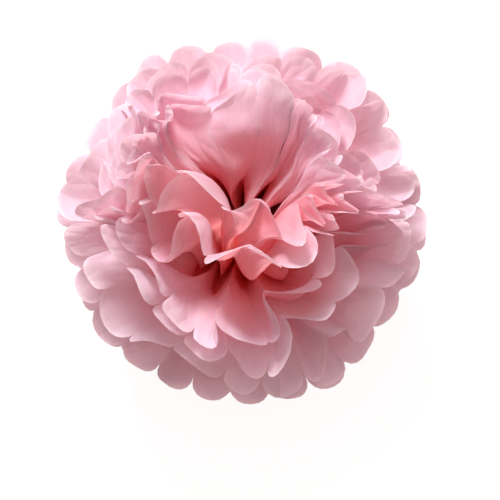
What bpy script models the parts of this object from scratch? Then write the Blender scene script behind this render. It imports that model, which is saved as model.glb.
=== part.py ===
"""Tissue paper pom pom: ten pleated sheets, tied with one wire and pulled apart into a ball.

Metres, +Z up. The stack of sheets was folded into a strip along Y, tied round its middle and
rounded at both ends. Each sheet then opened into two half fans, one on each side of the wire,
and was pulled up or down, so that the sheets stand inside each other like cups.
"""

from math import pi, radians

import bpy
import numpy as np

# The folded strip
PANELS = 13
PANEL_WIDTH = 0.028
STRIP_LENGTH = 0.250
SCALLOP_DEPTH = 0.012
SCALLOP_ROUNDNESS = 2.3
SHEET_THICKNESS = 0.0004
SHARP_CREASE = radians(30)

# The tie
NECK_WIDTH = 0.0032
NECK_CLEARANCE = 0.0005
NECK_LENGTH = 0.014
SLIT_WIDTH = 0.004
OUTER_SLIT_WIDTH = 0.0012
SLIT_NARROW = 0.015
SLIT_TURN = 0.12
WIRE_DIAMETER = 0.0008
WIRE_CLEARANCE = 0.0003
WIRE_LOOP_WIDTH = 0.008
TWIST_LENGTH = 0.012
TWIST_TURNS = 2
TWIST_STEPS = 8
BEND_STEPS = 20
BEND_SQUARENESS = 0.5
SHOULDER_OUT = 0.6
SHOULDER_UP = 0.75
TWIST_START = 2.0

# Where the rims stand, as angles from straight up, and how far their petals reach.
# Sheets of one family keep the same folds, because nobody pulled them quite apart.
# The lowest family comes first.
FAMILIES = (
    ((149, 0.95), (126, 0.95)),
    ((105, 0.98),),
    ((90, 1.0), (79, 0.99)),
    ((59, 0.98),),
    ((43, 0.97), (35, 0.96)),
    ((21, 0.96), (12, 0.96)),
)
LOWER_SHEETS = 4

# How a cup grows from the tie: the pleats deepen, then the petals turn outwards
CUP_LENGTH = 0.036
PLEATS_START = 0.004
PLEATS_FULL = 0.019
PLEATS_FADE = 0.042
PLEATS_END = 0.092
WIDEST_PLEAT = 0.40
FOLDS_START = 0.030
PETALS_START = 0.060
PETAL_LEAN = 0.18
LARGEST_FOLD = 0.0125
PETAL_CURL = 0.08
PETAL_BULGE = (-0.0025, 0.0045)
CORE_SHARE = 0.95
CREASE_ROUNDING = 0.10
RIM_ROUNDING = 0.35
ROOM_SHARE = 0.82
STEEPEST_PLEAT = 1.7
LARGEST_MOVE = 2.2
MOVE_GIVE = 0.01
SLACK = 0.985
LIMIT_SHARPNESS = 6

# How the folds of a half fan differ: cups that stand within INNER_CUPS of the pole
# keep their broad petals along the walls of the slot, the others anywhere
INNER_CUPS = (0.4, 1.2)
WALL_MIDDLE = (0.38, 0.62)
WALL_WIDTH = (0.13, 0.22)
WALL_STRAY = 0.05
WALL_SHARE = 0.90
BROAD_SHARE = 0.35
BROAD_FOLD = (0.05, 0.30)
DEEP_FOLD = (0.70, 1.30)
DEEPEST_SIZE = 1.5
NARROWEST_SPAN = 0.001
FIT_TRIES = 40
RIM_POINTS = 181

# The opening at each pole is a long slot along X, off the middle towards +Y
SLOT_ANGLE = 0.38
SLOT_CUPS = (0.5, 1.5)
SLOT_SHIFT = 0.43
SLOT_START = 0.020
SLOT_FULL = 0.095
SHIFT_START = 0.060
SHIFT_FULL = 0.110
SHIFTED_CUPS = 1.35
CHANNEL_BEND = 0.20
BEND_STARTS = (0.015, 0.050)
BEND_ENDS = (0.055, 0.100)

# Soft waves that carry all the sheets together, so that none crosses its neighbour
WAVE_SEED = 23
PLEAT_SEED = 13
WAVES = 14
BROAD_WAVES = (0.080, 0.140)
NARROW_WAVES = (0.050, 0.085)
BROAD_DRIFT = 0.011
NARROW_DRIFT = 0.010
DRIFT_START = 0.015
DRIFT_FULL = 0.095
NARROW_STEPS = 8
BROAD_STEPS = 6
NARROW_LEVEL_SHARE = 0.10
BROAD_LEVEL_SHARE = 0.40
STEEPNESS = (0.05, 0.75)

# The lowest petals are pressed flat by the weight
PRESSED_BELOW = 0.080
PRESSED_SHARE = 0.35

PALE_PINK = (0.90, 0.66, 0.72, 1.0)
WIRE_GREY = (0.62, 0.62, 0.64, 1.0)

REACH = STRIP_LENGTH / 2
NOTCH = REACH - SCALLOP_DEPTH
NECK_END = NECK_LENGTH / 2
LAYER_PITCH = SHEET_THICKNESS + NECK_CLEARANCE
RING_SHARES = (0.31, 0.54, 0.77, 1.0)
MID_LINE_RINGS = 2
SCALLOP_STEPS = (0.14, 0.5, 0.86)


def smooth_step(value, start, end):
    """0 before start, 1 after end, and a smooth rise between them."""
    share = np.clip((value - start) / (end - start), 0.0, 1.0)
    return share * share * (3 - 2 * share)


def slot_size(angle):
    """Half the extra length of the slot, in radians, for a cup at this angle from its pole."""
    return SLOT_ANGLE * (1 - smooth_step(angle, *SLOT_CUPS))


def rim_arc(rim):
    """Azimuths round half a rim, and the length of rim from the first azimuth to each."""
    azimuth = np.linspace(0, pi, RIM_POINTS)
    angle = min(rim, pi - rim)
    slot = slot_size(angle)
    tilt = np.sqrt(angle**2 + (slot * np.cos(azimuth)) ** 2)
    speed = NOTCH * np.sqrt(angle**2 + (slot * np.sin(azimuth)) ** 2) * np.sinc(tilt / pi)
    steps = (speed[1:] + speed[:-1]) / 2 * (azimuth[1] - azimuth[0])
    return azimuth, np.concatenate([[0], np.cumsum(steps)])


class HalfFan:
    """The folds of one half of a family: their depths and azimuths at the rim, and each petal's form."""

    def __init__(self, rim, side, turn, rng):
        self.side = side
        self.turn = turn
        azimuth, arc = rim_arc(rim)
        folds = PANELS + 1
        depth = self.fold_depths(rim, folds, rng)
        self.fold = self.fit_to_rim(depth, arc[-1] * SLACK)
        width = self.panel_spans(self.fold)
        along = np.concatenate([[0], np.cumsum(width)]) / width.sum() * arc[-1]
        self.rim_azimuth = np.interp(along, arc, azimuth)
        self.core_azimuth = np.linspace(0, pi, folds)
        self.bulge = rng.uniform(*PETAL_BULGE, PANELS)
        self.curl = rng.normal(0.0, PETAL_CURL, PANELS)

    @staticmethod
    def fold_depths(rim, folds, rng):
        """Relative depths: some folds are almost flat, most of all along the walls of the slot."""
        inner = 1 - smooth_step(min(rim, pi - rim), *INNER_CUPS)
        spot = np.linspace(0, 1, folds) + rng.normal(0, WALL_STRAY)
        wall = np.exp(-(((spot - rng.uniform(*WALL_MIDDLE)) / rng.uniform(*WALL_WIDTH)) ** 2))
        broad = rng.random(folds) < BROAD_SHARE * (1 - inner) + WALL_SHARE * inner * wall
        return np.where(broad, rng.uniform(*BROAD_FOLD, folds), rng.uniform(*DEEP_FOLD, folds))

    @staticmethod
    def panel_spans(fold):
        """How much of the rim each panel covers, once its folds take up the rest of its width."""
        return np.sqrt(np.maximum(PANEL_WIDTH**2 - np.diff(fold) ** 2, NARROWEST_SPAN**2))

    def fit_to_rim(self, depth, length):
        """Folds of these relative depths, sized so that the panels fill the rim."""
        side = (-1.0) ** (np.arange(len(depth)) + self.side)
        low, high = 0.0, LARGEST_FOLD * DEEPEST_SIZE
        for _ in range(FIT_TRIES):
            size = (low + high) / 2
            fold = np.clip(size * depth, 0, LARGEST_FOLD) * side
            if self.panel_spans(fold).sum() > length:
                low = size
            else:
                high = size
        return fold


def place(radius, polar, azimuth):
    """Points at these distances from the tie, in cups whose opening is a slot off the pole."""
    upper = polar < pi / 2
    angle = np.where(upper, polar, pi - polar)
    grown = smooth_step(radius, SLOT_START, SLOT_FULL)
    slot = slot_size(angle) * grown
    x = np.sign(angle) * np.hypot(angle, slot) * np.cos(azimuth)
    y = angle * np.sin(azimuth)
    bend = CHANNEL_BEND * smooth_step(radius, *BEND_STARTS) * (1 - smooth_step(radius, *BEND_ENDS))
    shift = SLOT_SHIFT * smooth_step(radius, SHIFT_START, SHIFT_FULL) - bend
    y = y + shift * (1 - smooth_step(np.hypot(x, y), 0.0, SHIFTED_CUPS))
    tilt = np.hypot(x, y)
    share = radius * np.sinc(tilt / pi)
    height = np.where(upper, 1, -1) * radius * np.cos(tilt)
    return np.stack([share * x, share * y, height], -1)


def make_waves(rng, lengths):
    """Waves that move points across their own direction, so that they squeeze nothing together."""
    waves = []
    for _ in range(WAVES):
        along = rng.normal(size=3)
        along /= np.linalg.norm(along)
        across = np.cross(along, rng.normal(size=3))
        across /= np.linalg.norm(across)
        waves.append((along * 2 * pi / rng.uniform(*lengths), across, rng.uniform(0, 2 * pi)))
    return waves


def drift(points, waves, amount, level_share, steps):
    """Carries the points along the waves in small steps, least near the tie and the equator."""
    for _ in range(steps):
        radius = np.linalg.norm(points, axis=-1, keepdims=True)
        push = sum(np.cos(points @ along + phase)[..., None] * across for along, across, phase in waves)
        steep = smooth_step(np.abs(points[..., 2:3]) / np.maximum(radius, NECK_END), *STEEPNESS)
        push *= amount / np.sqrt(WAVES) * smooth_step(radius, DRIFT_START, DRIFT_FULL)
        push *= level_share + (1 - level_share) * steep
        points = points + push / steps
    return points


def leaning(rim):
    """How far the petals of a rim lean away from their pole: none do at the equator."""
    return PETAL_LEAN * np.cos(rim)


def within(offset, limit):
    """The offset, bent so that it stays inside the limit on either side."""
    return offset / (1 + np.abs(offset / limit) ** LIMIT_SHARPNESS) ** (1 / LIMIT_SHARPNESS)


def fan_points(half, rim, level, reach, room, along, radius):
    """Points of a half fan: along counts panels from its first edge, radius is the distance from the tie.

    room is the angle on either side of the family that no other sheet uses.
    """
    panel = np.minimum(along.astype(int), PANELS - 1)
    share = along - panel
    open_share = smooth_step(radius, FOLDS_START, NOTCH)
    pleated = 1 - smooth_step(radius, PLEATS_FADE, PLEATS_END)
    core = half.core_azimuth[panel] + (half.core_azimuth[panel + 1] - half.core_azimuth[panel]) * share
    outer = half.rim_azimuth[panel] + (half.rim_azimuth[panel + 1] - half.rim_azimuth[panel]) * share
    spread = smooth_step(radius, PETALS_START, NOTCH)
    azimuth = core * (1 - spread) + outer * spread
    grown = (1 - np.exp(-radius / CUP_LENGTH)) / (1 - np.exp(-REACH / CUP_LENGTH))
    polar = pi / 2 - level * LAYER_PITCH / radius + (rim - pi / 2) * grown
    slit = SLIT_WIDTH + (OUTER_SLIT_WIDTH - SLIT_WIDTH) * smooth_step(radius, NECK_END, SLIT_NARROW)
    gap = np.arcsin(slit / 2 / (radius * np.sin(polar)))
    azimuth = pi * half.side + gap + azimuth * (1 - 2 * gap / pi) + half.turn * spread
    rounded = CREASE_ROUNDING + (RIM_ROUNDING - CREASE_ROUNDING) * open_share
    ease = share * (1 - rounded) + smooth_step(share, 0.0, 1.0) * rounded
    span = pi * radius * np.sin(polar) / PANELS
    core_fold = np.sqrt(np.maximum(PANEL_WIDTH**2 - span**2, 0)) / 2
    core_fold = np.minimum(core_fold, STEEPEST_PLEAT * span / 2)
    core_fold = within(core_fold, WIDEST_PLEAT * radius)
    core_fold *= CORE_SHARE * smooth_step(radius, PLEATS_START, PLEATS_FULL)
    core_fold *= (-1.0) ** (panel + half.side) * (1 - 2 * ease)
    rim_fold = half.fold[panel] + (half.fold[panel + 1] - half.fold[panel]) * ease
    own = (rim_fold + half.bulge[panel] * 4 * share * (1 - share)) * open_share / radius
    opened = smooth_step(radius, PETALS_START, REACH)
    own = own + half.curl[panel] * np.sin(pi * share) * opened
    own = within(own, ROOM_SHARE * room * grown)
    polar = polar + core_fold * pleated / radius + own + leaning(rim) * opened
    points = place(radius * reach, polar, azimuth)
    points = drift(points, NARROW, NARROW_DRIFT, NARROW_LEVEL_SHARE, NARROW_STEPS)
    points = drift(points, BROAD, BROAD_DRIFT, BROAD_LEVEL_SHARE, BROAD_STEPS)
    return press(points)


def press(points):
    """Flattens the lowest petals, as the pom pom's weight does."""
    below = np.minimum(points[..., 2] + PRESSED_BELOW, 0)
    points[..., 2] -= below * (1 - PRESSED_SHARE)
    return points


def scallop(share):
    """Distance of the rounded rim from the tie, across one panel."""
    power = SCALLOP_ROUNDNESS
    return NOTCH + SCALLOP_DEPTH * (1 - abs(2 * share - 1) ** power) ** (1 / power)


def stand(family, index):
    """The angle at which one sheet of a family stands at its rim, lean and all."""
    rim = radians(family[index][0])
    return rim + leaning(rim)


def sheet_name(order):
    """The name of a sheet, by its place in the stack counted from the lowest."""
    if order < LOWER_SHEETS:
        return f"lower_sheet_{LOWER_SHEETS - order}"
    return f"upper_sheet_{order - LOWER_SHEETS + 1}"


def stack_of_sheets():
    """Each sheet from the lowest in the stack to the highest: its name, rim, halves, level, reach and room."""
    rng = np.random.default_rng(PLEAT_SEED)
    total = sum(len(family) for family in FAMILIES)
    sheets = []
    for order, family in enumerate(FAMILIES):
        turn = rng.uniform(-SLIT_TURN, SLIT_TURN)
        middle = radians(np.mean([rim for rim, _ in family]))
        halves = [HalfFan(middle, half, turn, rng) for half in (0, 1)]
        room = pi
        if order > 0:
            room = min(room, stand(FAMILIES[order - 1], -1) - stand(family, 0))
        if order < len(FAMILIES) - 1:
            room = min(room, stand(family, -1) - stand(FAMILIES[order + 1], 0))
        for rim, reach in family:
            name = sheet_name(len(sheets))
            sheets.append((name, radians(rim), halves, len(sheets) - (total - 1) / 2, reach, room / 2))
    return sheets


def fan_grid():
    """The lines of a half fan: its points as (panels along, radius), and the triangles between them."""
    rings = [NECK_END] + [NECK_END + (NOTCH - NECK_END) * share for share in RING_SHARES]
    points = []
    row = {}
    for number, radius in enumerate(rings):
        for panel in range(PANELS + 1):
            row[number, panel] = len(points)
            points.append((panel, radius))
        if number > MID_LINE_RINGS:
            for panel in range(PANELS):
                row[number, panel + 0.5] = len(points)
                points.append((panel + 0.5, radius))
    faces = []
    for number in range(len(rings) - 1):
        for panel in range(PANELS):
            a, b = row[number, panel], row[number, panel + 1]
            c, d = row[number + 1, panel], row[number + 1, panel + 1]
            low = row.get((number, panel + 0.5))
            high = row.get((number + 1, panel + 0.5))
            if high is None:
                faces += [(a, c, d), (a, d, b)] if panel % 2 else [(a, c, b), (b, c, d)]
            elif low is None:
                faces += [(a, c, high), (a, high, b), (b, high, d)]
            else:
                faces += [(a, c, high), (a, high, low), (low, high, b), (b, high, d)]
    last = len(rings) - 1
    for panel in range(PANELS):
        rim = [row[last, panel]]
        for share in SCALLOP_STEPS:
            rim.append(len(points))
            points.append((panel + share, scallop(share)))
        rim.append(row[last, panel + 1])
        faces += [(row[last, panel + 0.5], a, b) for a, b in zip(rim, rim[1:])]
    return np.array(points, float), faces


def paper_moves(points, faces):
    """For each point, the move that carries all the faces round it outwards by one, or nearly so at a sharp fold."""
    a, b, c = (points[faces[:, corner]] for corner in range(3))
    normal = np.cross(b - a, c - a)
    normal /= np.linalg.norm(normal, axis=1, keepdims=True)
    matrix = np.tile(np.eye(3) * MOVE_GIVE, (len(points), 1, 1))
    target = np.zeros((len(points), 3))
    for corner in range(3):
        np.add.at(matrix, faces[:, corner], normal[:, :, None] * normal[:, None, :])
        np.add.at(target, faces[:, corner], normal)
    move = np.linalg.solve(matrix, target[:, :, None])[:, :, 0]
    return move / np.maximum(np.linalg.norm(move, axis=1, keepdims=True) / LARGEST_MOVE, 1)


def closed_faces(faces, back):
    """Faces of a thin solid: the given ones, their backs, whose points start at back, and the edges."""
    edges = [(a, b) for face in faces for a, b in zip(face, face[1:] + face[:1])]
    outline = set(edges) - {(b, a) for a, b in edges}
    backs = [tuple(back + corner for corner in face[::-1]) for face in faces]
    return faces + backs + [(b, a, back + a, back + b) for a, b in sorted(outline)]


def sheet_mesh(name, rim, halves, level, reach, room):
    """One sheet: two half fans that meet in the narrow neck under the wire."""
    grid, fan_faces = fan_grid()
    height = level * LAYER_PITCH
    points = [(NECK_WIDTH / 2, 0, height), (-NECK_WIDTH / 2, 0, height)]
    faces = []
    for half in halves:
        first = len(points)
        points += fan_points(half, rim, level, reach, room, grid[:, 0], grid[:, 1]).tolist()
        faces += [tuple(first + corner for corner in face) for face in fan_faces]
        near, far = (0, 1) if half.side == 0 else (1, 0)
        middle = PANELS // 2
        faces += [(near, first + j, first + j + 1) for j in range(middle)]
        faces.append((near, first + middle, far))
        faces += [(far, first + j, first + j + 1) for j in range(middle, PANELS)]
    mesh = bpy.data.meshes.new(name)
    move = paper_moves(np.array(points), np.array(faces)) * SHEET_THICKNESS / 2
    solid_points = np.concatenate([points + move, points - move])
    mesh.from_pydata(solid_points.tolist(), [], closed_faces(faces, len(points)))
    mesh.shade_smooth()
    mesh.set_sharp_from_angle(angle=SHARP_CREASE)
    return mesh


def make_material(name, colour, roughness, metallic):
    material = bpy.data.materials.new(name)
    material.use_nodes = True
    shader = material.node_tree.nodes["Principled BSDF"]
    shader.inputs["Base Color"].default_value = colour
    shader.inputs["Roughness"].default_value = roughness
    shader.inputs["Metallic"].default_value = metallic
    return material


def add_sheets():
    """The solids of all the sheets."""
    made = []
    for name, rim, halves, level, reach, room in stack_of_sheets():
        sheet = bpy.data.objects.new(name, sheet_mesh(name, rim, halves, level, reach, room))
        bpy.context.scene.collection.objects.link(sheet)
        sheet.data.materials.append(make_material(name, PALE_PINK, 0.75, 0.0))
        made.append(sheet)
    return made


def wire_route(sheets):
    """The wire from one end of its twist, round the stack and back up to the other end."""
    strand = (WIRE_DIAMETER + WIRE_CLEARANCE) / 2
    half_width = WIRE_LOOP_WIDTH / 2
    half_height = (sheets - 1) / 2 * LAYER_PITCH + SHEET_THICKNESS / 2 + WIRE_CLEARANCE + WIRE_DIAMETER / 2
    turns = np.linspace(0, 2 * pi * TWIST_TURNS, TWIST_STEPS * TWIST_TURNS + 1)
    climb = half_height + TWIST_START * WIRE_DIAMETER + TWIST_LENGTH * turns / turns[-1]
    helix = np.stack([strand * np.cos(turns), strand * np.sin(turns), climb], -1)
    shoulder = np.array([[strand + SHOULDER_OUT * WIRE_DIAMETER, 0, half_height + SHOULDER_UP * WIRE_DIAMETER]])
    bend = np.linspace(pi / 2, -1.5 * pi, BEND_STEPS)[1:-1]
    loop_x = half_width * np.sign(np.cos(bend)) * np.abs(np.cos(bend)) ** BEND_SQUARENESS
    loop_z = half_height * np.sign(np.sin(bend)) * np.abs(np.sin(bend)) ** BEND_SQUARENESS
    loop = np.stack([loop_x, np.zeros_like(bend), loop_z], -1)
    return np.concatenate([helix[::-1], shoulder, loop, shoulder * (-1, 1, 1), helix * (-1, -1, 1)])


def add_wire(sheets):
    """The tie: one wire, bent round the necks of all the sheets and twisted on itself."""
    route = wire_route(sheets)
    curve = bpy.data.curves.new("tie_wire", "CURVE")
    curve.dimensions = "3D"
    spline = curve.splines.new("POLY")
    spline.points.add(len(route) - 1)
    for point, at in zip(spline.points, route):
        point.co = (*at, 1)
    curve.bevel_depth = WIRE_DIAMETER / 2
    curve.bevel_resolution = 1
    curve.use_fill_caps = True
    wire = bpy.data.objects.new("tie_wire", curve)
    bpy.context.scene.collection.objects.link(wire)
    curve.materials.append(make_material("tie_wire", WIRE_GREY, 0.35, 1.0))
    return wire


def stand_on_origin(objects):
    """Moves everything so that the lowest point is at z = 0 and the middle of its box is over the origin."""
    corners = np.array([vertex.co for sheet in objects[:-1] for vertex in sheet.data.vertices])
    low, high = corners.min(0), corners.max(0)
    shift = (-(low[0] + high[0]) / 2, -(low[1] + high[1]) / 2, -low[2])
    for thing in objects:
        thing.location = shift


def main():
    for thing in list(bpy.data.objects):
        bpy.data.objects.remove(thing)
    sheets = add_sheets()
    stand_on_origin([*sheets, add_wire(len(sheets))])


wave_rng = np.random.default_rng(WAVE_SEED)
BROAD = make_waves(wave_rng, BROAD_WAVES)
NARROW = make_waves(wave_rng, NARROW_WAVES)
main()
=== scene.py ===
"""Tissue paper pom pom: the fine paper of every sheet, its light and its camera.

Each sheet follows the same formulas as its solid in the frame, with many more points. Metres, +Z up.
"""

from collections import namedtuple
from math import atan, pi, radians, tan

import bpy
import numpy as np
from mathutils import Matrix, Vector


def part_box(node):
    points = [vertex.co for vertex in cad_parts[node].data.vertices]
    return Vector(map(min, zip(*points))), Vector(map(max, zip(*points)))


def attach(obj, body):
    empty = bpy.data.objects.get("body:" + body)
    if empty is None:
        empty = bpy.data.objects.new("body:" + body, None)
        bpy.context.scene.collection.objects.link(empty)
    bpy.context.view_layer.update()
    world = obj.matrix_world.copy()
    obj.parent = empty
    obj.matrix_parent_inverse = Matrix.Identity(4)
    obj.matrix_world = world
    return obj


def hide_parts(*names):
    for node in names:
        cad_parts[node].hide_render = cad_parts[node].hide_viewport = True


# The folded strip
PANELS = 13
PANEL_WIDTH = 0.028
STRIP_LENGTH = 0.250
SCALLOP_DEPTH = 0.012
SCALLOP_ROUNDNESS = 2.3
SHEET_THICKNESS = 0.0004

# The tie
NECK_WIDTH = 0.0032
NECK_CLEARANCE = 0.0005
NECK_LENGTH = 0.014
SLIT_WIDTH = 0.004
OUTER_SLIT_WIDTH = 0.0012
SLIT_NARROW = 0.015
SLIT_TURN = 0.12
WIRE_DIAMETER = 0.0008
WIRE_CLEARANCE = 0.0003

# Where the rims stand, as angles from straight up, and how far their petals reach.
# Sheets of one family keep the same folds, because nobody pulled them quite apart.
# The lowest family comes first.
FAMILIES = (
    ((149, 0.95), (126, 0.95)),
    ((105, 0.98),),
    ((90, 1.0), (79, 0.99)),
    ((59, 0.98),),
    ((43, 0.97), (35, 0.96)),
    ((21, 0.96), (12, 0.96)),
)
LOWER_SHEETS = 4

# How a cup grows from the tie: the pleats deepen, then the petals turn outwards
CUP_LENGTH = 0.036
PLEATS_START = 0.004
PLEATS_FULL = 0.019
PLEATS_FADE = 0.042
PLEATS_END = 0.092
WIDEST_PLEAT = 0.60
FOLDS_START = 0.030
PETALS_START = 0.060
PETAL_LEAN = 0.18
LARGEST_FOLD = 0.0134
PETAL_CURL = 0.08
PETAL_BULGE = (-0.0025, 0.0045)
CORE_SHARE = 0.95
CREASE_ROUNDING = 0.00
RIM_ROUNDING = 0.05
ROOM_SHARE = 0.82
STEEPEST_PLEAT = 6.0
SLACK = 0.985
LIMIT_SHARPNESS = 6

# How the folds of a half fan differ: cups that stand within INNER_CUPS of the pole
# keep their broad petals along the walls of the slot, the others anywhere
INNER_CUPS = (0.4, 1.2)
WALL_MIDDLE = (0.38, 0.62)
WALL_WIDTH = (0.13, 0.22)
WALL_STRAY = 0.05
WALL_SHARE = 0.90
BROAD_SHARE = 0.35
BROAD_FOLD = (0.05, 0.30)
DEEP_FOLD = (0.70, 1.30)
DEEPEST_SIZE = 1.5
NARROWEST_SPAN = 0.001
FIT_TRIES = 40
RIM_POINTS = 181

# The opening at each pole is a long slot along X, off the middle towards +Y
SLOT_ANGLE = 0.38
SLOT_CUPS = (0.5, 1.5)
SLOT_SHIFT = 0.43
SLOT_START = 0.020
SLOT_FULL = 0.095
SHIFT_START = 0.060
SHIFT_FULL = 0.110
SHIFTED_CUPS = 1.35
CHANNEL_BEND = 0.20
BEND_STARTS = (0.015, 0.050)
BEND_ENDS = (0.055, 0.100)

# Soft waves that carry all the sheets together, so that none crosses its neighbour
WAVE_SEED = 23
PLEAT_SEED = 13
WAVES = 14
BROAD_WAVES = (0.080, 0.140)
NARROW_WAVES = (0.050, 0.085)
BROAD_DRIFT = 0.011
NARROW_DRIFT = 0.012
DRIFT_START = 0.015
DRIFT_FULL = 0.095
NARROW_STEPS = 8
BROAD_STEPS = 6
NARROW_LEVEL_SHARE = 0.10
BROAD_LEVEL_SHARE = 0.40
STEEPNESS = (0.05, 0.75)
RIPPLE_SEED = 5
RIPPLE_WAVES = (0.016, 0.034)
RIPPLE_DRIFT = 0.0014
RIPPLE_STEPS = 2
RIPPLE_LEVEL_SHARE = 0.60

# The lowest petals are pressed flat by the weight
PRESSED_BELOW = 0.080
PRESSED_SHARE = 0.35

# How fine the paper is made, how wide the painted highlight on its cut edge is, and how wide the painted
# highlight and raised crease along its folds are
COLUMNS = 10
ROWS = 44
EDGE_WIDTH = 0.0011
FOLD_HIGHLIGHT_AND_RELIEF_WIDTH = 0.0012
SHARP_DEGREES = 32

# The tissue's own pink on its face, and of the light that comes through it, with painted light and
# shade laid on: painted salmon near the tie for light bounced between the sheets, painted shade at
# the rims and in the near inner cups, painted highlights on cut edges and folds. Depths are distances
# from the tie as shares of the reach, less the painted shade warmth of the inner cups.
# Painted shade: the rims are painted greyer and darker than the petals
SHADED_RIM_PINK = (0.70, 0.56, 0.65, 1)
PETAL_PINKS = ((0.97, 0.69, 0.84, 1), (0.98, 0.75, 0.89, 1))
# Painted light: the salmon near the tie, on the face and in the light through, stands for light bounced
# between the sheets
CORE_BOUNCE_PINK = (0.98, 0.28, 0.24, 1)
# Painted highlight, pale on cut edges and folds; the pale fibres lean towards it too
HIGHLIGHT_AND_FIBRE_PINK = (1.00, 0.92, 0.95, 1)
RIM_THROUGH = (0.97, 0.62, 0.68, 1)
CORE_BOUNCE_THROUGH = (1.00, 0.20, 0.14, 1)
RIM_LIGHT_THROUGH = 0.46
CORE_LIGHT_THROUGH = 0.85
# Painted shade: the inner cups turn salmon further out, most on the near side, which is in shade
FAR_SHADE_WARMTH = 0.06
NEAR_SHADE_WARMTH = 0.27
SHADE_WARMED_CUPS = (0.15, 1.15)
PETAL_DEPTHS = (0.18, 0.80)
RIM_DEPTHS = (0.72, 0.98)
# How strong the painted highlights on edges and folds are, and how pale the fibres are
EDGE_HIGHLIGHT = 0.95
FOLD_HIGHLIGHT = 0.30
FIBRE_PALENESS = 0.18

# The tissue's surface, on the flat paper: soft clouds of colour, fibres, crumpled creases that
# are drawn out along the pleats, and small facets between them. Scales are counts to the metre.
CLOUD_SCALE = 30.0
CLOUD_DETAIL = 3.0
CLOUD_RANGE = (0.3, 0.7)
FIBRE_SCALE = 900.0
FIBRE_DETAIL = 2.0
FIBRE_RANGE = (0.35, 0.75)
CRUMPLE_SCALE = 75.0
CRUMPLE_DETAIL = 2.5
CRUMPLE_DRAWN = (1.0, 0.55, 1.0)
FACET_SCALE = 130.0
CORE_CRUMPLE = 0.08
RIM_CRUMPLE = 0.43
FACET_RELIEF = 0.8
FIBRE_RELIEF = 0.03
FOLD_RELIEF = 0.22
TISSUE_BUMP = 0.85
TISSUE_BUMP_HEIGHT = 0.0020
TISSUE_ROUGHNESS = 0.62
TISSUE_GLOSS = 0.30
TISSUE_SHEEN = 0.10
SHEEN_ROUGHNESS = 0.4

# The wire's greys, and the fine grain that dulls it
WIRE_GREYS = ((0.52, 0.51, 0.50, 1), (0.70, 0.69, 0.68, 1))
GRAIN_SCALE = 1500.0
GRAIN_DETAIL = 2.0
WIRE_ROUGHNESS = 0.28
GRAIN_ROUGHNESS = 0.25
WIRE_BUMP = 0.2
WIRE_BUMP_HEIGHT = 0.0001

# Daylight falls from the far side, the top of the picture. The sky grows brighter as the Y of a
# direction goes through SKY_SIDES, and as its Z goes through SKY_TOP.
SKY_FAR = 0.62
SKY_NEAR = 0.02
SKY_ABOVE = 0.48
SKY_SIDES = (-0.9, 0.9)
SKY_TOP = (0.55, 1.0)
COOL_LIGHT = (0.95, 0.98, 1.0, 1)
WARM_LIGHT = (1.0, 0.66, 0.56, 1)
KEY_WATTS = 29
KEY_SIZE = 0.35
KEY_PLACE = (-0.30, 1.14, 0.98)
KEY_AIM = (0, 0, 0.1)
WHITE = (1, 1, 1, 1)
FLOOR_PAINT = (0.40, 0.40, 0.40, 1)
FLOOR_GLOW = 0.85
FLOOR_HALF = 16.0
FLOOR_GAP = 0.0005

# The camera looks straight down. VIEW_MIDDLE is in the plane that VIEW_WIDTH is measured in,
# and it puts the pom pom a little high and left of the picture's middle.
LENS = 85
SENSOR_WIDTH = 36
VIEW_WIDTH = 0.340
VIEW_MIDDLE = (0.0048, -0.0218, 0.105)

REACH = STRIP_LENGTH / 2
NOTCH = REACH - SCALLOP_DEPTH
NECK_END = NECK_LENGTH / 2
LAYER_PITCH = SHEET_THICKNESS + NECK_CLEARANCE
SHEETS = sum(len(family) for family in FAMILIES)

# One sheet: its name, the angle of its rim, its two half fans, its place in the stack counted from
# the middle, its reach as a share of the full one, and the angle on either side that is its own
Sheet = namedtuple("Sheet", "name rim halves level reach room")


def smooth_step(value, start, end):
    """0 before start, 1 after end, and a smooth rise between them."""
    share = np.clip((value - start) / (end - start), 0.0, 1.0)
    return share * share * (3 - 2 * share)


def slot_size(angle):
    """Half the extra length of the slot, in radians, for a cup at this angle from its pole."""
    return SLOT_ANGLE * (1 - smooth_step(angle, *SLOT_CUPS))


def rim_arc(rim):
    """Azimuths round half a rim, and the length of rim from the first azimuth to each."""
    azimuth = np.linspace(0, pi, RIM_POINTS)
    angle = min(rim, pi - rim)
    slot = slot_size(angle)
    tilt = np.sqrt(angle**2 + (slot * np.cos(azimuth)) ** 2)
    speed = NOTCH * np.sqrt(angle**2 + (slot * np.sin(azimuth)) ** 2) * np.sinc(tilt / pi)
    steps = (speed[1:] + speed[:-1]) / 2 * (azimuth[1] - azimuth[0])
    return azimuth, np.concatenate([[0], np.cumsum(steps)])


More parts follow.
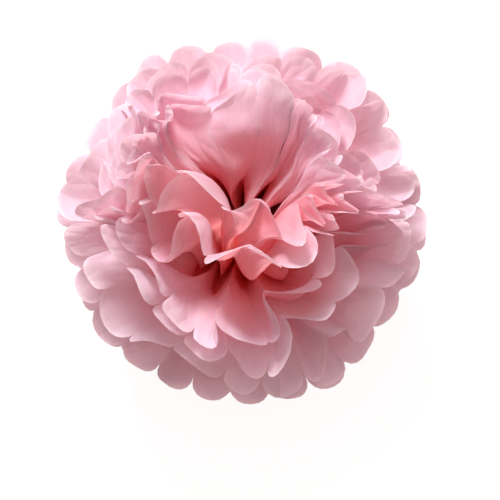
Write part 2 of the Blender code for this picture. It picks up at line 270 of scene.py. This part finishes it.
class HalfFan:
    """The folds of one half of a family: their depths and azimuths at the rim, and each petal's form."""

    def __init__(self, rim, side, turn, rng):
        self.side = side
        self.turn = turn
        azimuth, arc = rim_arc(rim)
        folds = PANELS + 1
        depth = self.fold_depths(rim, folds, rng)
        self.fold = self.fit_to_rim(depth, arc[-1] * SLACK)
        width = self.panel_spans(self.fold)
        along = np.concatenate([[0], np.cumsum(width)]) / width.sum() * arc[-1]
        self.rim_azimuth = np.interp(along, arc, azimuth)
        self.core_azimuth = np.linspace(0, pi, folds)
        self.bulge = rng.uniform(*PETAL_BULGE, PANELS)
        self.curl = rng.normal(0.0, PETAL_CURL, PANELS)

    @staticmethod
    def fold_depths(rim, folds, rng):
        """Relative depths: some folds are almost flat, most of all along the walls of the slot."""
        inner = 1 - smooth_step(min(rim, pi - rim), *INNER_CUPS)
        spot = np.linspace(0, 1, folds) + rng.normal(0, WALL_STRAY)
        wall = np.exp(-(((spot - rng.uniform(*WALL_MIDDLE)) / rng.uniform(*WALL_WIDTH)) ** 2))
        broad = rng.random(folds) < BROAD_SHARE * (1 - inner) + WALL_SHARE * inner * wall
        return np.where(broad, rng.uniform(*BROAD_FOLD, folds), rng.uniform(*DEEP_FOLD, folds))

    @staticmethod
    def panel_spans(fold):
        """How much of the rim each panel covers, once its folds take up the rest of its width."""
        return np.sqrt(np.maximum(PANEL_WIDTH**2 - np.diff(fold) ** 2, NARROWEST_SPAN**2))

    def fit_to_rim(self, depth, length):
        """Folds of these relative depths, sized so that the panels fill the rim."""
        side = (-1.0) ** (np.arange(len(depth)) + self.side)
        low, high = 0.0, LARGEST_FOLD * DEEPEST_SIZE
        for _ in range(FIT_TRIES):
            size = (low + high) / 2
            fold = np.clip(size * depth, 0, LARGEST_FOLD) * side
            if self.panel_spans(fold).sum() > length:
                low = size
            else:
                high = size
        return fold


def place(radius, polar, azimuth):
    """Points at these distances from the tie, in cups whose opening is a slot off the pole."""
    upper = polar < pi / 2
    angle = np.where(upper, polar, pi - polar)
    grown = smooth_step(radius, SLOT_START, SLOT_FULL)
    slot = slot_size(angle) * grown
    x = np.sign(angle) * np.hypot(angle, slot) * np.cos(azimuth)
    y = angle * np.sin(azimuth)
    bend = CHANNEL_BEND * smooth_step(radius, *BEND_STARTS) * (1 - smooth_step(radius, *BEND_ENDS))
    shift = SLOT_SHIFT * smooth_step(radius, SHIFT_START, SHIFT_FULL) - bend
    y = y + shift * (1 - smooth_step(np.hypot(x, y), 0.0, SHIFTED_CUPS))
    tilt = np.hypot(x, y)
    share = radius * np.sinc(tilt / pi)
    height = np.where(upper, 1, -1) * radius * np.cos(tilt)
    return np.stack([share * x, share * y, height], -1)


def make_waves(rng, lengths):
    """Waves that move points across their own direction, so that they squeeze nothing together."""
    waves = []
    for _ in range(WAVES):
        along = rng.normal(size=3)
        along /= np.linalg.norm(along)
        across = np.cross(along, rng.normal(size=3))
        across /= np.linalg.norm(across)
        waves.append((along * 2 * pi / rng.uniform(*lengths), across, rng.uniform(0, 2 * pi)))
    return waves


def drift(points, waves, amount, level_share, steps):
    """Carries the points along the waves in small steps, least near the tie and the equator."""
    for _ in range(steps):
        radius = np.linalg.norm(points, axis=-1, keepdims=True)
        push = sum(np.cos(points @ along + phase)[..., None] * across for along, across, phase in waves)
        steep = smooth_step(np.abs(points[..., 2:3]) / np.maximum(radius, NECK_END), *STEEPNESS)
        push *= amount / np.sqrt(WAVES) * smooth_step(radius, DRIFT_START, DRIFT_FULL)
        push *= level_share + (1 - level_share) * steep
        points = points + push / steps
    return points


def leaning(rim):
    """How far the petals of a rim lean away from their pole: none do at the equator."""
    return PETAL_LEAN * np.cos(rim)


def within(offset, limit):
    """The offset, bent so that it stays inside the limit on either side."""
    return offset / (1 + np.abs(offset / limit) ** LIMIT_SHARPNESS) ** (1 / LIMIT_SHARPNESS)


def split_panels(along):
    """The panel that each point lies on, and the share of that panel's width before it."""
    panel = np.minimum(along.astype(int), PANELS - 1)
    return panel, along - panel


def between_folds(values, panel, share):
    """A value given at every fold, read a share of the way across a panel."""
    return values[panel] + (values[panel + 1] - values[panel]) * share


def fan_azimuth(half, panel, share, radius, polar):
    """Azimuths of a half fan: even at the tie, and as its folds need them at the rim."""
    spread = smooth_step(radius, PETALS_START, NOTCH)
    core = between_folds(half.core_azimuth, panel, share)
    outer = between_folds(half.rim_azimuth, panel, share)
    azimuth = core * (1 - spread) + outer * spread
    slit = SLIT_WIDTH + (OUTER_SLIT_WIDTH - SLIT_WIDTH) * smooth_step(radius, NECK_END, SLIT_NARROW)
    gap = np.arcsin(slit / 2 / (radius * np.sin(polar)))
    return pi * half.side + gap + azimuth * (1 - 2 * gap / pi) + half.turn * spread


def core_pleats(half, panel, ease, radius, polar):
    """The angle by which the even pleats near the tie leave their cup."""
    span = pi * radius * np.sin(polar) / PANELS
    fold = np.sqrt(np.maximum(PANEL_WIDTH**2 - span**2, 0)) / 2
    fold = np.minimum(fold, STEEPEST_PLEAT * span / 2)
    fold = within(fold, WIDEST_PLEAT * radius)
    fold *= CORE_SHARE * smooth_step(radius, PLEATS_START, PLEATS_FULL)
    fold *= (-1.0) ** (panel + half.side) * (1 - 2 * ease)
    pleated = 1 - smooth_step(radius, PLEATS_FADE, PLEATS_END)
    return fold * pleated / radius


def petal_folds(half, panel, share, ease, radius):
    """The angle by which each petal's own folds, bulge and curl leave the cup."""
    fold = between_folds(half.fold, panel, ease) + half.bulge[panel] * 4 * share * (1 - share)
    curl = half.curl[panel] * np.sin(pi * share) * smooth_step(radius, PETALS_START, REACH)
    return fold * smooth_step(radius, FOLDS_START, NOTCH) / radius + curl


def fan_points(half, sheet, along, radius):
    """Points of a half fan: along counts panels from its first edge, radius is the distance from the tie."""
    panel, share = split_panels(along)
    grown = (1 - np.exp(-radius / CUP_LENGTH)) / (1 - np.exp(-REACH / CUP_LENGTH))
    polar = pi / 2 - sheet.level * LAYER_PITCH / radius + (sheet.rim - pi / 2) * grown
    azimuth = fan_azimuth(half, panel, share, radius, polar)
    rounded = CREASE_ROUNDING + (RIM_ROUNDING - CREASE_ROUNDING) * smooth_step(radius, FOLDS_START, NOTCH)
    ease = share * (1 - rounded) + smooth_step(share, 0.0, 1.0) * rounded
    own = within(petal_folds(half, panel, share, ease, radius), ROOM_SHARE * sheet.room * grown)
    lean = leaning(sheet.rim) * smooth_step(radius, PETALS_START, REACH)
    polar = polar + core_pleats(half, panel, ease, radius, polar) + own + lean
    points = place(radius * sheet.reach, polar, azimuth)
    points = drift(points, NARROW, NARROW_DRIFT, NARROW_LEVEL_SHARE, NARROW_STEPS)
    points = drift(points, BROAD, BROAD_DRIFT, BROAD_LEVEL_SHARE, BROAD_STEPS)
    points = drift(points, RIPPLES, RIPPLE_DRIFT, RIPPLE_LEVEL_SHARE, RIPPLE_STEPS)
    return press(points)


def press(points):
    """Flattens the lowest petals, as the pom pom's weight does."""
    below = np.minimum(points[..., 2] + PRESSED_BELOW, 0)
    points[..., 2] -= below * (1 - PRESSED_SHARE)
    return points


def scallop(share):
    """Distance of the rounded rim from the tie, across one panel."""
    power = SCALLOP_ROUNDNESS
    return NOTCH + SCALLOP_DEPTH * (1 - abs(2 * share - 1) ** power) ** (1 / power)


def stand(family, index):
    """The angle at which one sheet of a family stands at its rim, lean and all."""
    rim = radians(family[index][0])
    return rim + leaning(rim)


def sheet_name(order):
    """The name of a sheet, by its place in the stack counted from the lowest."""
    if order < LOWER_SHEETS:
        return f"lower_sheet_{LOWER_SHEETS - order}"
    return f"upper_sheet_{order - LOWER_SHEETS + 1}"


def stack_of_sheets():
    """Every sheet, from the lowest in the stack to the highest."""
    rng = np.random.default_rng(PLEAT_SEED)
    sheets = []
    for order, family in enumerate(FAMILIES):
        turn = rng.uniform(-SLIT_TURN, SLIT_TURN)
        middle = radians(np.mean([rim for rim, _ in family]))
        halves = [HalfFan(middle, side, turn, rng) for side in (0, 1)]
        room = pi
        if order > 0:
            room = min(room, stand(FAMILIES[order - 1], -1) - stand(family, 0))
        if order < len(FAMILIES) - 1:
            room = min(room, stand(family, -1) - stand(FAMILIES[order + 1], 0))
        for rim, reach in family:
            level = len(sheets) - (SHEETS - 1) / 2
            sheets.append(Sheet(sheet_name(len(sheets)), radians(rim), halves, level, reach, room / 2))
    return sheets


def fan_grid():
    """Where the points of a half fan lie on the flat paper: panels along, and distance from the tie."""
    across = (1 - np.cos(np.linspace(0, pi, COLUMNS + 1))) / 2
    along = np.concatenate([panel + across[:-1] for panel in range(PANELS)] + [[PANELS]])
    edge = scallop(split_panels(along)[1])
    inner = np.linspace(0, 1, ROWS - 1)
    rows = [NECK_END + (edge - EDGE_WIDTH - NECK_END) * share for share in inner] + [edge]
    radius = np.stack(rows, 1)
    return np.repeat(along[:, None], ROWS, 1), radius


def grid_faces(first, columns, rows):
    """Four sided faces between the rows and columns of a grid of points."""
    index = first + np.arange(columns * rows).reshape(columns, rows)
    return np.stack([index[:-1, :-1], index[1:, :-1], index[1:, 1:], index[:-1, 1:]], -1).reshape(-1, 4)


def neck_faces(first, columns, side):
    """Faces from the first row of a half fan to the two points that its sheet has under the wire."""
    near, far = (0, 1) if side == 0 else (1, 0)
    row = [first + column * ROWS for column in range(columns)]
    middle = columns // 2
    faces = [(near, a, b) for a, b in zip(row[:middle], row[1 : middle + 1])]
    faces.append((near, row[middle], far))
    faces += [(far, a, b) for a, b in zip(row[middle:-1], row[middle + 1 :])]
    return faces


def surface_values(half, sheet, along, radius):
    """What the material needs to know at each point of a half fan.

    edge is 1 on the cut edge, fold is 1 on a fold, depth grows from the tie to the rim, held back by a
    painted shade in the inner cups, most on the near side, and flat is the place on the flat paper,
    with a third number that sets every half fan apart.
    """
    to_fold = np.abs(along - np.round(along)) * PANEL_WIDTH * radius / REACH
    to_rim = scallop(split_panels(along)[1]) - radius
    # painted shade: inner cups, most on the near side, are painted more salmon
    inner = 1 - smooth_step(min(sheet.rim, pi - sheet.rim), *SHADE_WARMED_CUPS)
    shade_warmth = inner * (NEAR_SHADE_WARMTH if half.side else FAR_SHADE_WARMTH)
    apart = np.full(along.shape, sheet.level + half.side / 2) * STRIP_LENGTH
    return {
        "edge": 1 - smooth_step(to_rim, 0.0, 2 * EDGE_WIDTH),
        "fold": 1 - smooth_step(to_fold, 0.0, FOLD_HIGHLIGHT_AND_RELIEF_WIDTH),
        "depth": radius / REACH * (1 - shade_warmth),
        "flat": np.stack([along * PANEL_WIDTH, radius, apart], -1),
    }


def add_values(mesh, name, parts):
    """Stores values at the points: the first two points, under the wire, get nought."""
    size = parts[0].shape[2:]
    values = np.concatenate([np.zeros((2, *size))] + [part.reshape(-1, *size) for part in parts])
    kind, field = ("FLOAT_VECTOR", "vector") if size else ("FLOAT", "value")
    layer = mesh.attributes.new(name, kind, "POINT")
    layer.data.foreach_set(field, values.astype(np.float32).ravel())


def sheet_mesh(sheet):
    """The fine paper of one sheet: two half fans joined at the neck."""
    along, radius = fan_grid()
    height = sheet.level * LAYER_PITCH
    points = [np.array([(NECK_WIDTH / 2, 0, height), (-NECK_WIDTH / 2, 0, height)])]
    faces = []
    for half in sheet.halves:
        first = sum(len(part) for part in points)
        points.append(fan_points(half, sheet, along, radius).reshape(-1, 3))
        faces += grid_faces(first, *along.shape).tolist()
        faces += neck_faces(first, len(along), half.side)
    mesh = bpy.data.meshes.new("paper_" + sheet.name)
    mesh.from_pydata(np.concatenate(points).tolist(), [], faces)
    values = [surface_values(half, sheet, along, radius) for half in sheet.halves]
    for name in values[0]:
        add_values(mesh, name, [part[name] for part in values])
    mesh.shade_smooth()
    mesh.set_sharp_from_angle(angle=radians(SHARP_DEGREES))
    return mesh


class Nodes:
    """Adds shader nodes to a material or a world, and links them."""

    def __init__(self, owner):
        owner.use_nodes = True
        self.tree = owner.node_tree
        self.tree.nodes.clear()

    def add(self, kind, inputs=(), **settings):
        """A node with these settings. Each input is a value, or the socket that feeds it."""
        node = self.tree.nodes.new(kind)
        for key, value in settings.items():
            setattr(node, key, value)
        for key, value in dict(inputs).items():
            if isinstance(value, bpy.types.NodeSocket):
                self.tree.links.new(value, node.inputs[key])
            else:
                node.inputs[key].default_value = value
        return node

    def maths(self, operation, *values):
        """The result of one operation on numbers."""
        return self.add("ShaderNodeMath", dict(enumerate(values)), operation=operation).outputs[0]

    def blend(self, share, first, second):
        """A colour between two: inputs 6 and 7 and output 2 are the node's colours."""
        return self.add("ShaderNodeMix", {0: share, 6: first, 7: second}, data_type="RGBA").outputs[2]

    def ramp(self, value, low, high):
        """0 up to low, 1 from high, and a straight rise between them."""
        inputs = {"Value": value, "From Min": low, "From Max": high}
        return self.add("ShaderNodeMapRange", inputs).outputs[0]

    def noise(self, where, scale, detail, **settings):
        """Soft noise at these coordinates."""
        inputs = {"Vector": where, "Scale": scale, "Detail": detail}
        return self.add("ShaderNodeTexNoise", inputs, **settings).outputs[0]

    def bump(self, height, strength, distance):
        """The surface's direction, once it is raised by this height."""
        inputs = {"Height": height, "Strength": strength, "Distance": distance}
        return self.add("ShaderNodeBump", inputs).outputs[0]

    def attribute(self, name, output="Fac"):
        """A value that the mesh holds at its points."""
        return self.add("ShaderNodeAttribute", attribute_name=name).outputs[output]


def tissue_colour_and_painted_light(nodes, depth, outer, cloud, fibre):
    """Pink on the petals with paler fibres; painted salmon near the tie for light bounced between the
    sheets, painted shade at the rims, painted highlights on edges and folds.
    """
    # painted highlights, pale on the cut edges and along the folds
    edge = nodes.maths("MULTIPLY", nodes.attribute("edge"), EDGE_HIGHLIGHT)
    fold = nodes.maths("MULTIPLY", nodes.attribute("fold"), FOLD_HIGHLIGHT)
    petal = nodes.blend(nodes.ramp(cloud, *CLOUD_RANGE), *PETAL_PINKS)
    # painted shade: greyer and darker towards the rims
    petal = nodes.blend(nodes.ramp(depth, *RIM_DEPTHS), petal, SHADED_RIM_PINK)
    # painted light: salmon near the tie for light bounced between the sheets
    paper = nodes.blend(outer, CORE_BOUNCE_PINK, petal)
    paper = nodes.blend(nodes.maths("MAXIMUM", edge, fold), paper, HIGHLIGHT_AND_FIBRE_PINK)
    pale = nodes.blend(FIBRE_PALENESS, paper, HIGHLIGHT_AND_FIBRE_PINK)
    return nodes.blend(nodes.ramp(fibre, *FIBRE_RANGE), paper, pale)


def tissue_relief(nodes, flat, outer, fibre):
    """The crumpled surface: creases, deepest on the petals, and facets, fibres and raised folds."""
    drawn = nodes.add("ShaderNodeVectorMath", {0: flat, 1: CRUMPLE_DRAWN}, operation="MULTIPLY").outputs[0]
    crumple = nodes.noise(drawn, CRUMPLE_SCALE, CRUMPLE_DETAIL, noise_type="RIDGED_MULTIFRACTAL")
    facets = nodes.add("ShaderNodeTexVoronoi", {"Vector": drawn, "Scale": FACET_SCALE}).outputs["Distance"]
    height = nodes.maths("MULTIPLY_ADD", outer, RIM_CRUMPLE - CORE_CRUMPLE, CORE_CRUMPLE)
    relief = nodes.maths("MULTIPLY", crumple, height)
    fold = nodes.attribute("fold")
    for part, share in ((facets, FACET_RELIEF), (fibre, FIBRE_RELIEF), (fold, FOLD_RELIEF)):
        relief = nodes.maths("ADD", relief, nodes.maths("MULTIPLY", part, share))
    return nodes.bump(relief, TISSUE_BUMP, TISSUE_BUMP_HEIGHT)


def tissue_material():
    """Thin creased tissue that lets light through, most of all near the tie, where a painted salmon stands
    for light bounced between the sheets.
    """
    material = bpy.data.materials.new("tissue")
    nodes = Nodes(material)
    flat = nodes.attribute("flat", "Vector")
    depth = nodes.attribute("depth")
    outer = nodes.ramp(depth, *PETAL_DEPTHS)
    cloud = nodes.noise(flat, CLOUD_SCALE, CLOUD_DETAIL)
    fibre = nodes.noise(flat, FIBRE_SCALE, FIBRE_DETAIL)
    colour = tissue_colour_and_painted_light(nodes, depth, outer, cloud, fibre)
    bump = tissue_relief(nodes, flat, outer, fibre)
    face = nodes.add("ShaderNodeBsdfPrincipled", {"Base Color": colour, "Normal": bump})
    face.inputs["Roughness"].default_value = TISSUE_ROUGHNESS
    face.inputs["Specular IOR Level"].default_value = TISSUE_GLOSS
    face.inputs["Sheen Weight"].default_value = TISSUE_SHEEN
    face.inputs["Sheen Roughness"].default_value = SHEEN_ROUGHNESS
    # painted light: the light through also turns salmon near the tie
    through = nodes.blend(outer, CORE_BOUNCE_THROUGH, RIM_THROUGH)
    back = nodes.add("ShaderNodeBsdfTranslucent", {"Color": through, "Normal": bump})
    share = nodes.maths("MULTIPLY_ADD", outer, RIM_LIGHT_THROUGH - CORE_LIGHT_THROUGH, CORE_LIGHT_THROUGH)
    both = nodes.add("ShaderNodeMixShader", {0: share, 1: face.outputs[0], 2: back.outputs[0]})
    nodes.add("ShaderNodeOutputMaterial", {"Surface": both.outputs[0]})
    return material


def wire_material():
    """Soft bare wire, dulled by a fine grain."""
    material = bpy.data.materials.new("tie_wire_steel")
    nodes = Nodes(material)
    where = nodes.add("ShaderNodeTexCoord").outputs["Object"]
    grain = nodes.noise(where, GRAIN_SCALE, GRAIN_DETAIL)
    colour = nodes.blend(grain, *WIRE_GREYS)
    rough = nodes.maths("ADD", nodes.maths("MULTIPLY", grain, GRAIN_ROUGHNESS), WIRE_ROUGHNESS)
    bump = nodes.bump(grain, WIRE_BUMP, WIRE_BUMP_HEIGHT)
    face = nodes.add("ShaderNodeBsdfPrincipled", {"Base Color": colour, "Roughness": rough, "Normal": bump})
    face.inputs["Metallic"].default_value = 1.0
    nodes.add("ShaderNodeOutputMaterial", {"Surface": face.outputs[0]})
    return material


def floor_material():
    """Matt paint that keeps a soft shadow, and looks white to the camera and in reflections."""
    material = bpy.data.materials.new("floor_paint")
    nodes = Nodes(material)
    path = nodes.add("ShaderNodeLightPath")
    seen = nodes.maths("MAXIMUM", path.outputs["Is Camera Ray"], path.outputs["Is Glossy Ray"])
    seen = nodes.maths("MAXIMUM", seen, path.outputs["Is Transmission Ray"])
    strength = nodes.maths("MULTIPLY", seen, FLOOR_GLOW)
    matt = nodes.add("ShaderNodeBsdfDiffuse", {"Color": FLOOR_PAINT})
    glow = nodes.add("ShaderNodeEmission", {"Color": WHITE, "Strength": strength})
    both = nodes.add("ShaderNodeAddShader", {0: matt.outputs[0], 1: glow.outputs[0]})
    nodes.add("ShaderNodeOutputMaterial", {"Surface": both.outputs[0]})
    return material


def tie_place():
    """The middle of the tied necks, which the fans are measured from."""
    low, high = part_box("tie_wire")
    half_height = (SHEETS - 1) / 2 * LAYER_PITCH + SHEET_THICKNESS / 2 + WIRE_CLEARANCE + WIRE_DIAMETER
    return Vector(((low[0] + high[0]) / 2, (low[1] + high[1]) / 2, low[2] + half_height))


def add_sheets():
    """The fine sheets, each in the place of its solid."""
    tissue = tissue_material()
    middle = tie_place()
    for sheet in stack_of_sheets():
        mesh = sheet_mesh(sheet)
        mesh.transform(Matrix.Translation(middle))
        mesh.materials.append(tissue)
        paper = bpy.data.objects.new("paper_" + sheet.name, mesh)
        bpy.context.scene.collection.objects.link(paper)
        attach(paper, "root")
        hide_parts(sheet.name)


def dress_wire():
    """The tie wire keeps its solid, in a better metal."""
    wire = bpy.data.objects["tie_wire"]
    wire.data.materials.clear()
    wire.data.materials.append(wire_material())


def add_floor():
    """A plain pale floor, just under the lowest petals."""
    mesh = bpy.data.meshes.new("floor")
    corners = [(-1, -1), (1, -1), (1, 1), (-1, 1)]
    mesh.from_pydata([(x * FLOOR_HALF, y * FLOOR_HALF, 0) for x, y in corners], [], [(0, 1, 2, 3)])
    mesh.materials.append(floor_material())
    floor = bpy.data.objects.new("floor", mesh)
    floor.location.z = -FLOOR_GAP
    bpy.context.scene.collection.objects.link(floor)


def add_sky():
    """Soft daylight, cool and bright from the far side, and more of it from above."""
    world = bpy.data.worlds.new("studio")
    bpy.context.scene.world = world
    nodes = Nodes(world)
    way = nodes.add("ShaderNodeTexCoord").outputs["Generated"]
    parts = nodes.add("ShaderNodeSeparateXYZ", {0: way}).outputs
    side = nodes.ramp(parts["Y"], *SKY_SIDES)
    strength = nodes.maths("MULTIPLY_ADD", side, SKY_FAR - SKY_NEAR, SKY_NEAR)
    strength = nodes.maths("MULTIPLY_ADD", nodes.ramp(parts["Z"], *SKY_TOP), SKY_ABOVE, strength)
    colour = nodes.blend(side, WARM_LIGHT, COOL_LIGHT)
    sky = nodes.add("ShaderNodeBackground", {"Color": colour, "Strength": strength})
    nodes.add("ShaderNodeOutputWorld", {"Surface": sky.outputs[0]})


def add_lamp():
    """One broad lamp, above the far side."""
    lamp = bpy.data.lights.new("key", "AREA")
    lamp.energy = KEY_WATTS
    lamp.color = COOL_LIGHT[:3]
    lamp.size = KEY_SIZE
    key = bpy.data.objects.new("key", lamp)
    key.location = KEY_PLACE
    key.rotation_mode = "QUATERNION"
    key.rotation_quaternion = (Vector(KEY_AIM) - key.location).to_track_quat("-Z", "Y")
    bpy.context.scene.collection.objects.link(key)


def add_camera():
    """Straight above the pom pom, as far away as the width of the view asks for."""
    camera = bpy.data.cameras.new("camera")
    camera.lens = LENS
    camera.sensor_width = SENSOR_WIDTH
    away = VIEW_WIDTH / 2 / tan(atan(SENSOR_WIDTH / 2 / LENS))
    eye = bpy.data.objects.new("camera", camera)
    x, y, height = VIEW_MIDDLE
    eye.location = (x, y, height + away)
    bpy.context.scene.collection.objects.link(eye)
    bpy.context.scene.camera = eye


def main():
    """Dresses the part, lights it, and frames it in the camera."""
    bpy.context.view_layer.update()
    add_sheets()
    dress_wire()
    add_floor()
    add_sky()
    add_lamp()
    add_camera()
    bpy.context.scene.view_settings.view_transform = "Standard"


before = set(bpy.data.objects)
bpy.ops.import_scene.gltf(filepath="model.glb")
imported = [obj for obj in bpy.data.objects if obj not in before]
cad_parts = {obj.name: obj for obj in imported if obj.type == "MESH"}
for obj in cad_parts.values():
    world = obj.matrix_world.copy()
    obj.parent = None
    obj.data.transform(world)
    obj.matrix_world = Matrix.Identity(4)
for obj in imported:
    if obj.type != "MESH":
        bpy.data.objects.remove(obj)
wave_rng = np.random.default_rng(WAVE_SEED)
BROAD = make_waves(wave_rng, BROAD_WAVES)
NARROW = make_waves(wave_rng, NARROW_WAVES)
RIPPLES = make_waves(np.random.default_rng(RIPPLE_SEED), RIPPLE_WAVES)
main()
